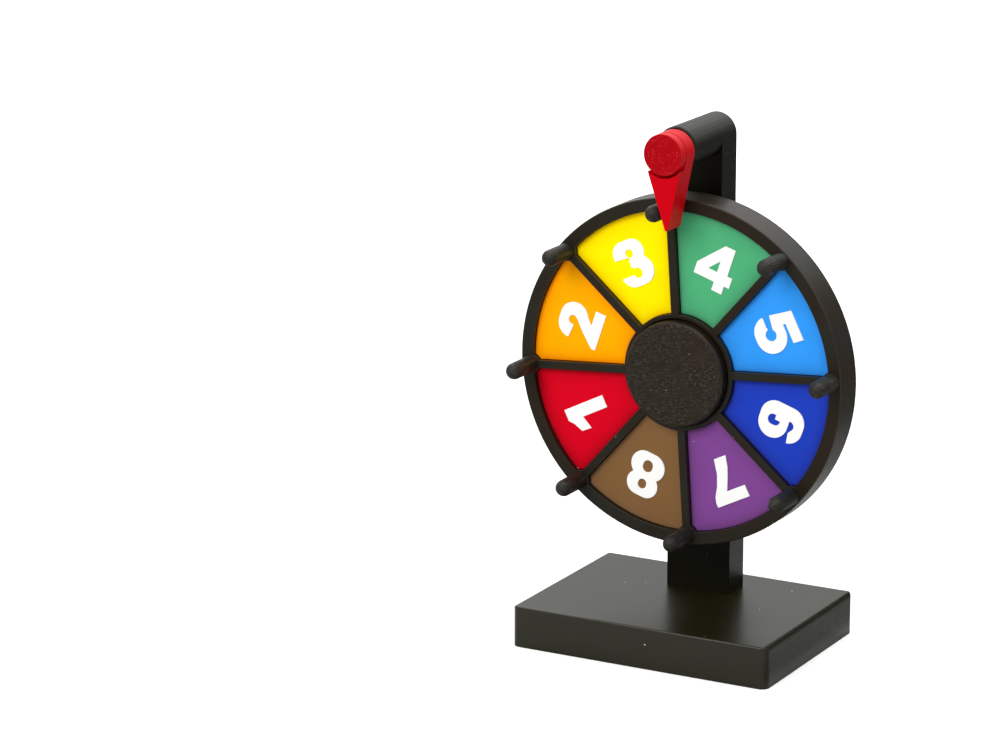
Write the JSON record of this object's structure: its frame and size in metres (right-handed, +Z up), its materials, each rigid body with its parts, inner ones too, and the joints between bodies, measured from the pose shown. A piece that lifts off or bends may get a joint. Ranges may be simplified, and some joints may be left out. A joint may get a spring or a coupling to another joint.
{
  "type": "carnival game wheel",
  "caption": "Tabletop prize wheel: a pegged rim with numbered colour panels turns on a ball bearing on an upright, under a hinged pointer that clicks past the pegs.",
  "frame": {"origin": "middle of the base's underside, on the table", "axes": "+Z up; the wheel faces -Y; +X to the right seen from the front"},
  "size_m": [0.121, 0.0708, 0.1822],
  "materials": {
    "black_plastic": "satin black printed plastic",
    "red_plastic": "satin red printed plastic",
    "white_plastic": "matte white plastic",
    "steel": "zinc plated and ground steel",
    "nylon": "natural nylon",
    "panel_red": "satin coloured plastic",
    "panel_orange": "satin coloured plastic",
    "panel_yellow": "satin coloured plastic",
    "panel_green": "satin coloured plastic",
    "panel_light_blue": "satin coloured plastic",
    "panel_dark_blue": "satin coloured plastic",
    "panel_purple": "satin coloured plastic",
    "panel_brown": "satin coloured plastic"
  },
  "bodies": {
    "stand": {"base": "black_plastic", "upright": "black_plastic", "base_screw_1": "steel", "base_screw_2": "steel", "axle_bolt": "steel", "axle_nut": "steel", "front_spacer": "steel", "rear_spacer": "steel", "hub_cap": "black_plastic", "bearing_inner_ring": "steel", "pointer_pin": "red_plastic"},
    "wheel": {"wheel_frame": "black_plastic", "panel_1": "panel_red", "panel_2": "panel_orange", "panel_3": "panel_yellow", "panel_4": "panel_green", "panel_5": "panel_light_blue", "panel_6": "panel_dark_blue", "panel_7": "panel_purple", "panel_8": "panel_brown", "numeral_1": "white_plastic", "numeral_2": "white_plastic", "numeral_3": "white_plastic", "numeral_4": "white_plastic", "numeral_5": "white_plastic", "numeral_6": "white_plastic", "numeral_7": "white_plastic", "numeral_8": "white_plastic", "peg_1": "black_plastic", "peg_2": "black_plastic", "peg_3": "black_plastic", "peg_4": "black_plastic", "peg_5": "black_plastic", "peg_6": "black_plastic", "peg_7": "black_plastic", "peg_8": "black_plastic", "bearing_outer_ring": "steel", "bearing_shield_front": "steel", "bearing_shield_rear": "steel", "bearing_cage": "nylon", "bearing_balls": "steel"},
    "pointer": {"pointer": "red_plastic"}
  },
  "joints": [
    {"name": "wheel_spin", "type": "hinge", "parent": "stand", "child": "wheel", "pos_m": [0, 0, 0.0968], "axis": [0, 1, 0], "continuous": true},
    {"name": "pointer_swing", "type": "hinge", "parent": "stand", "child": "pointer", "pos_m": [0, -0.0125, 0.1743], "axis": [0, 1, 0], "continuous": true}
  ]
}
